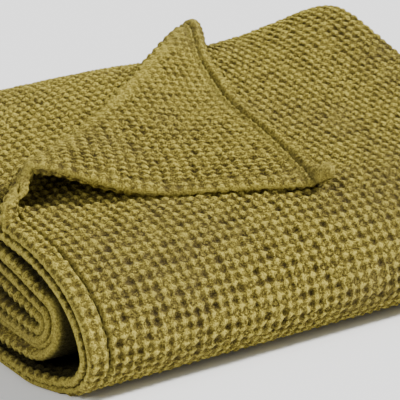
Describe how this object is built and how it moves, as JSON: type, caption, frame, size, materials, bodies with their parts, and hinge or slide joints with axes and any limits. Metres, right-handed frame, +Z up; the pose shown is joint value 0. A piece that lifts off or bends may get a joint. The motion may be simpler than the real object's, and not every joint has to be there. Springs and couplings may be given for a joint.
{
  "type": "rolled waffle-weave bedspread",
  "caption": "Chunky waffle-weave cotton bedspread, folded lengthwise and wound into a flattened roll, with a corner of its outer layer turned back over the top.",
  "frame": {"origin": "middle of the outer box at the surface that the roll lies on", "axes": "+X along the roll, away from the end where the side hems show; -Y towards the round front of the roll; +Z up"},
  "size_m": [0.4712, 0.3778, 0.141],
  "materials": {
    "waffle_cotton": "matte, raised waffle cells in olive with taupe pits"
  },
  "bodies": {
    "root": {"bedspread": "waffle_cotton"}
  },
  "joints": []
}
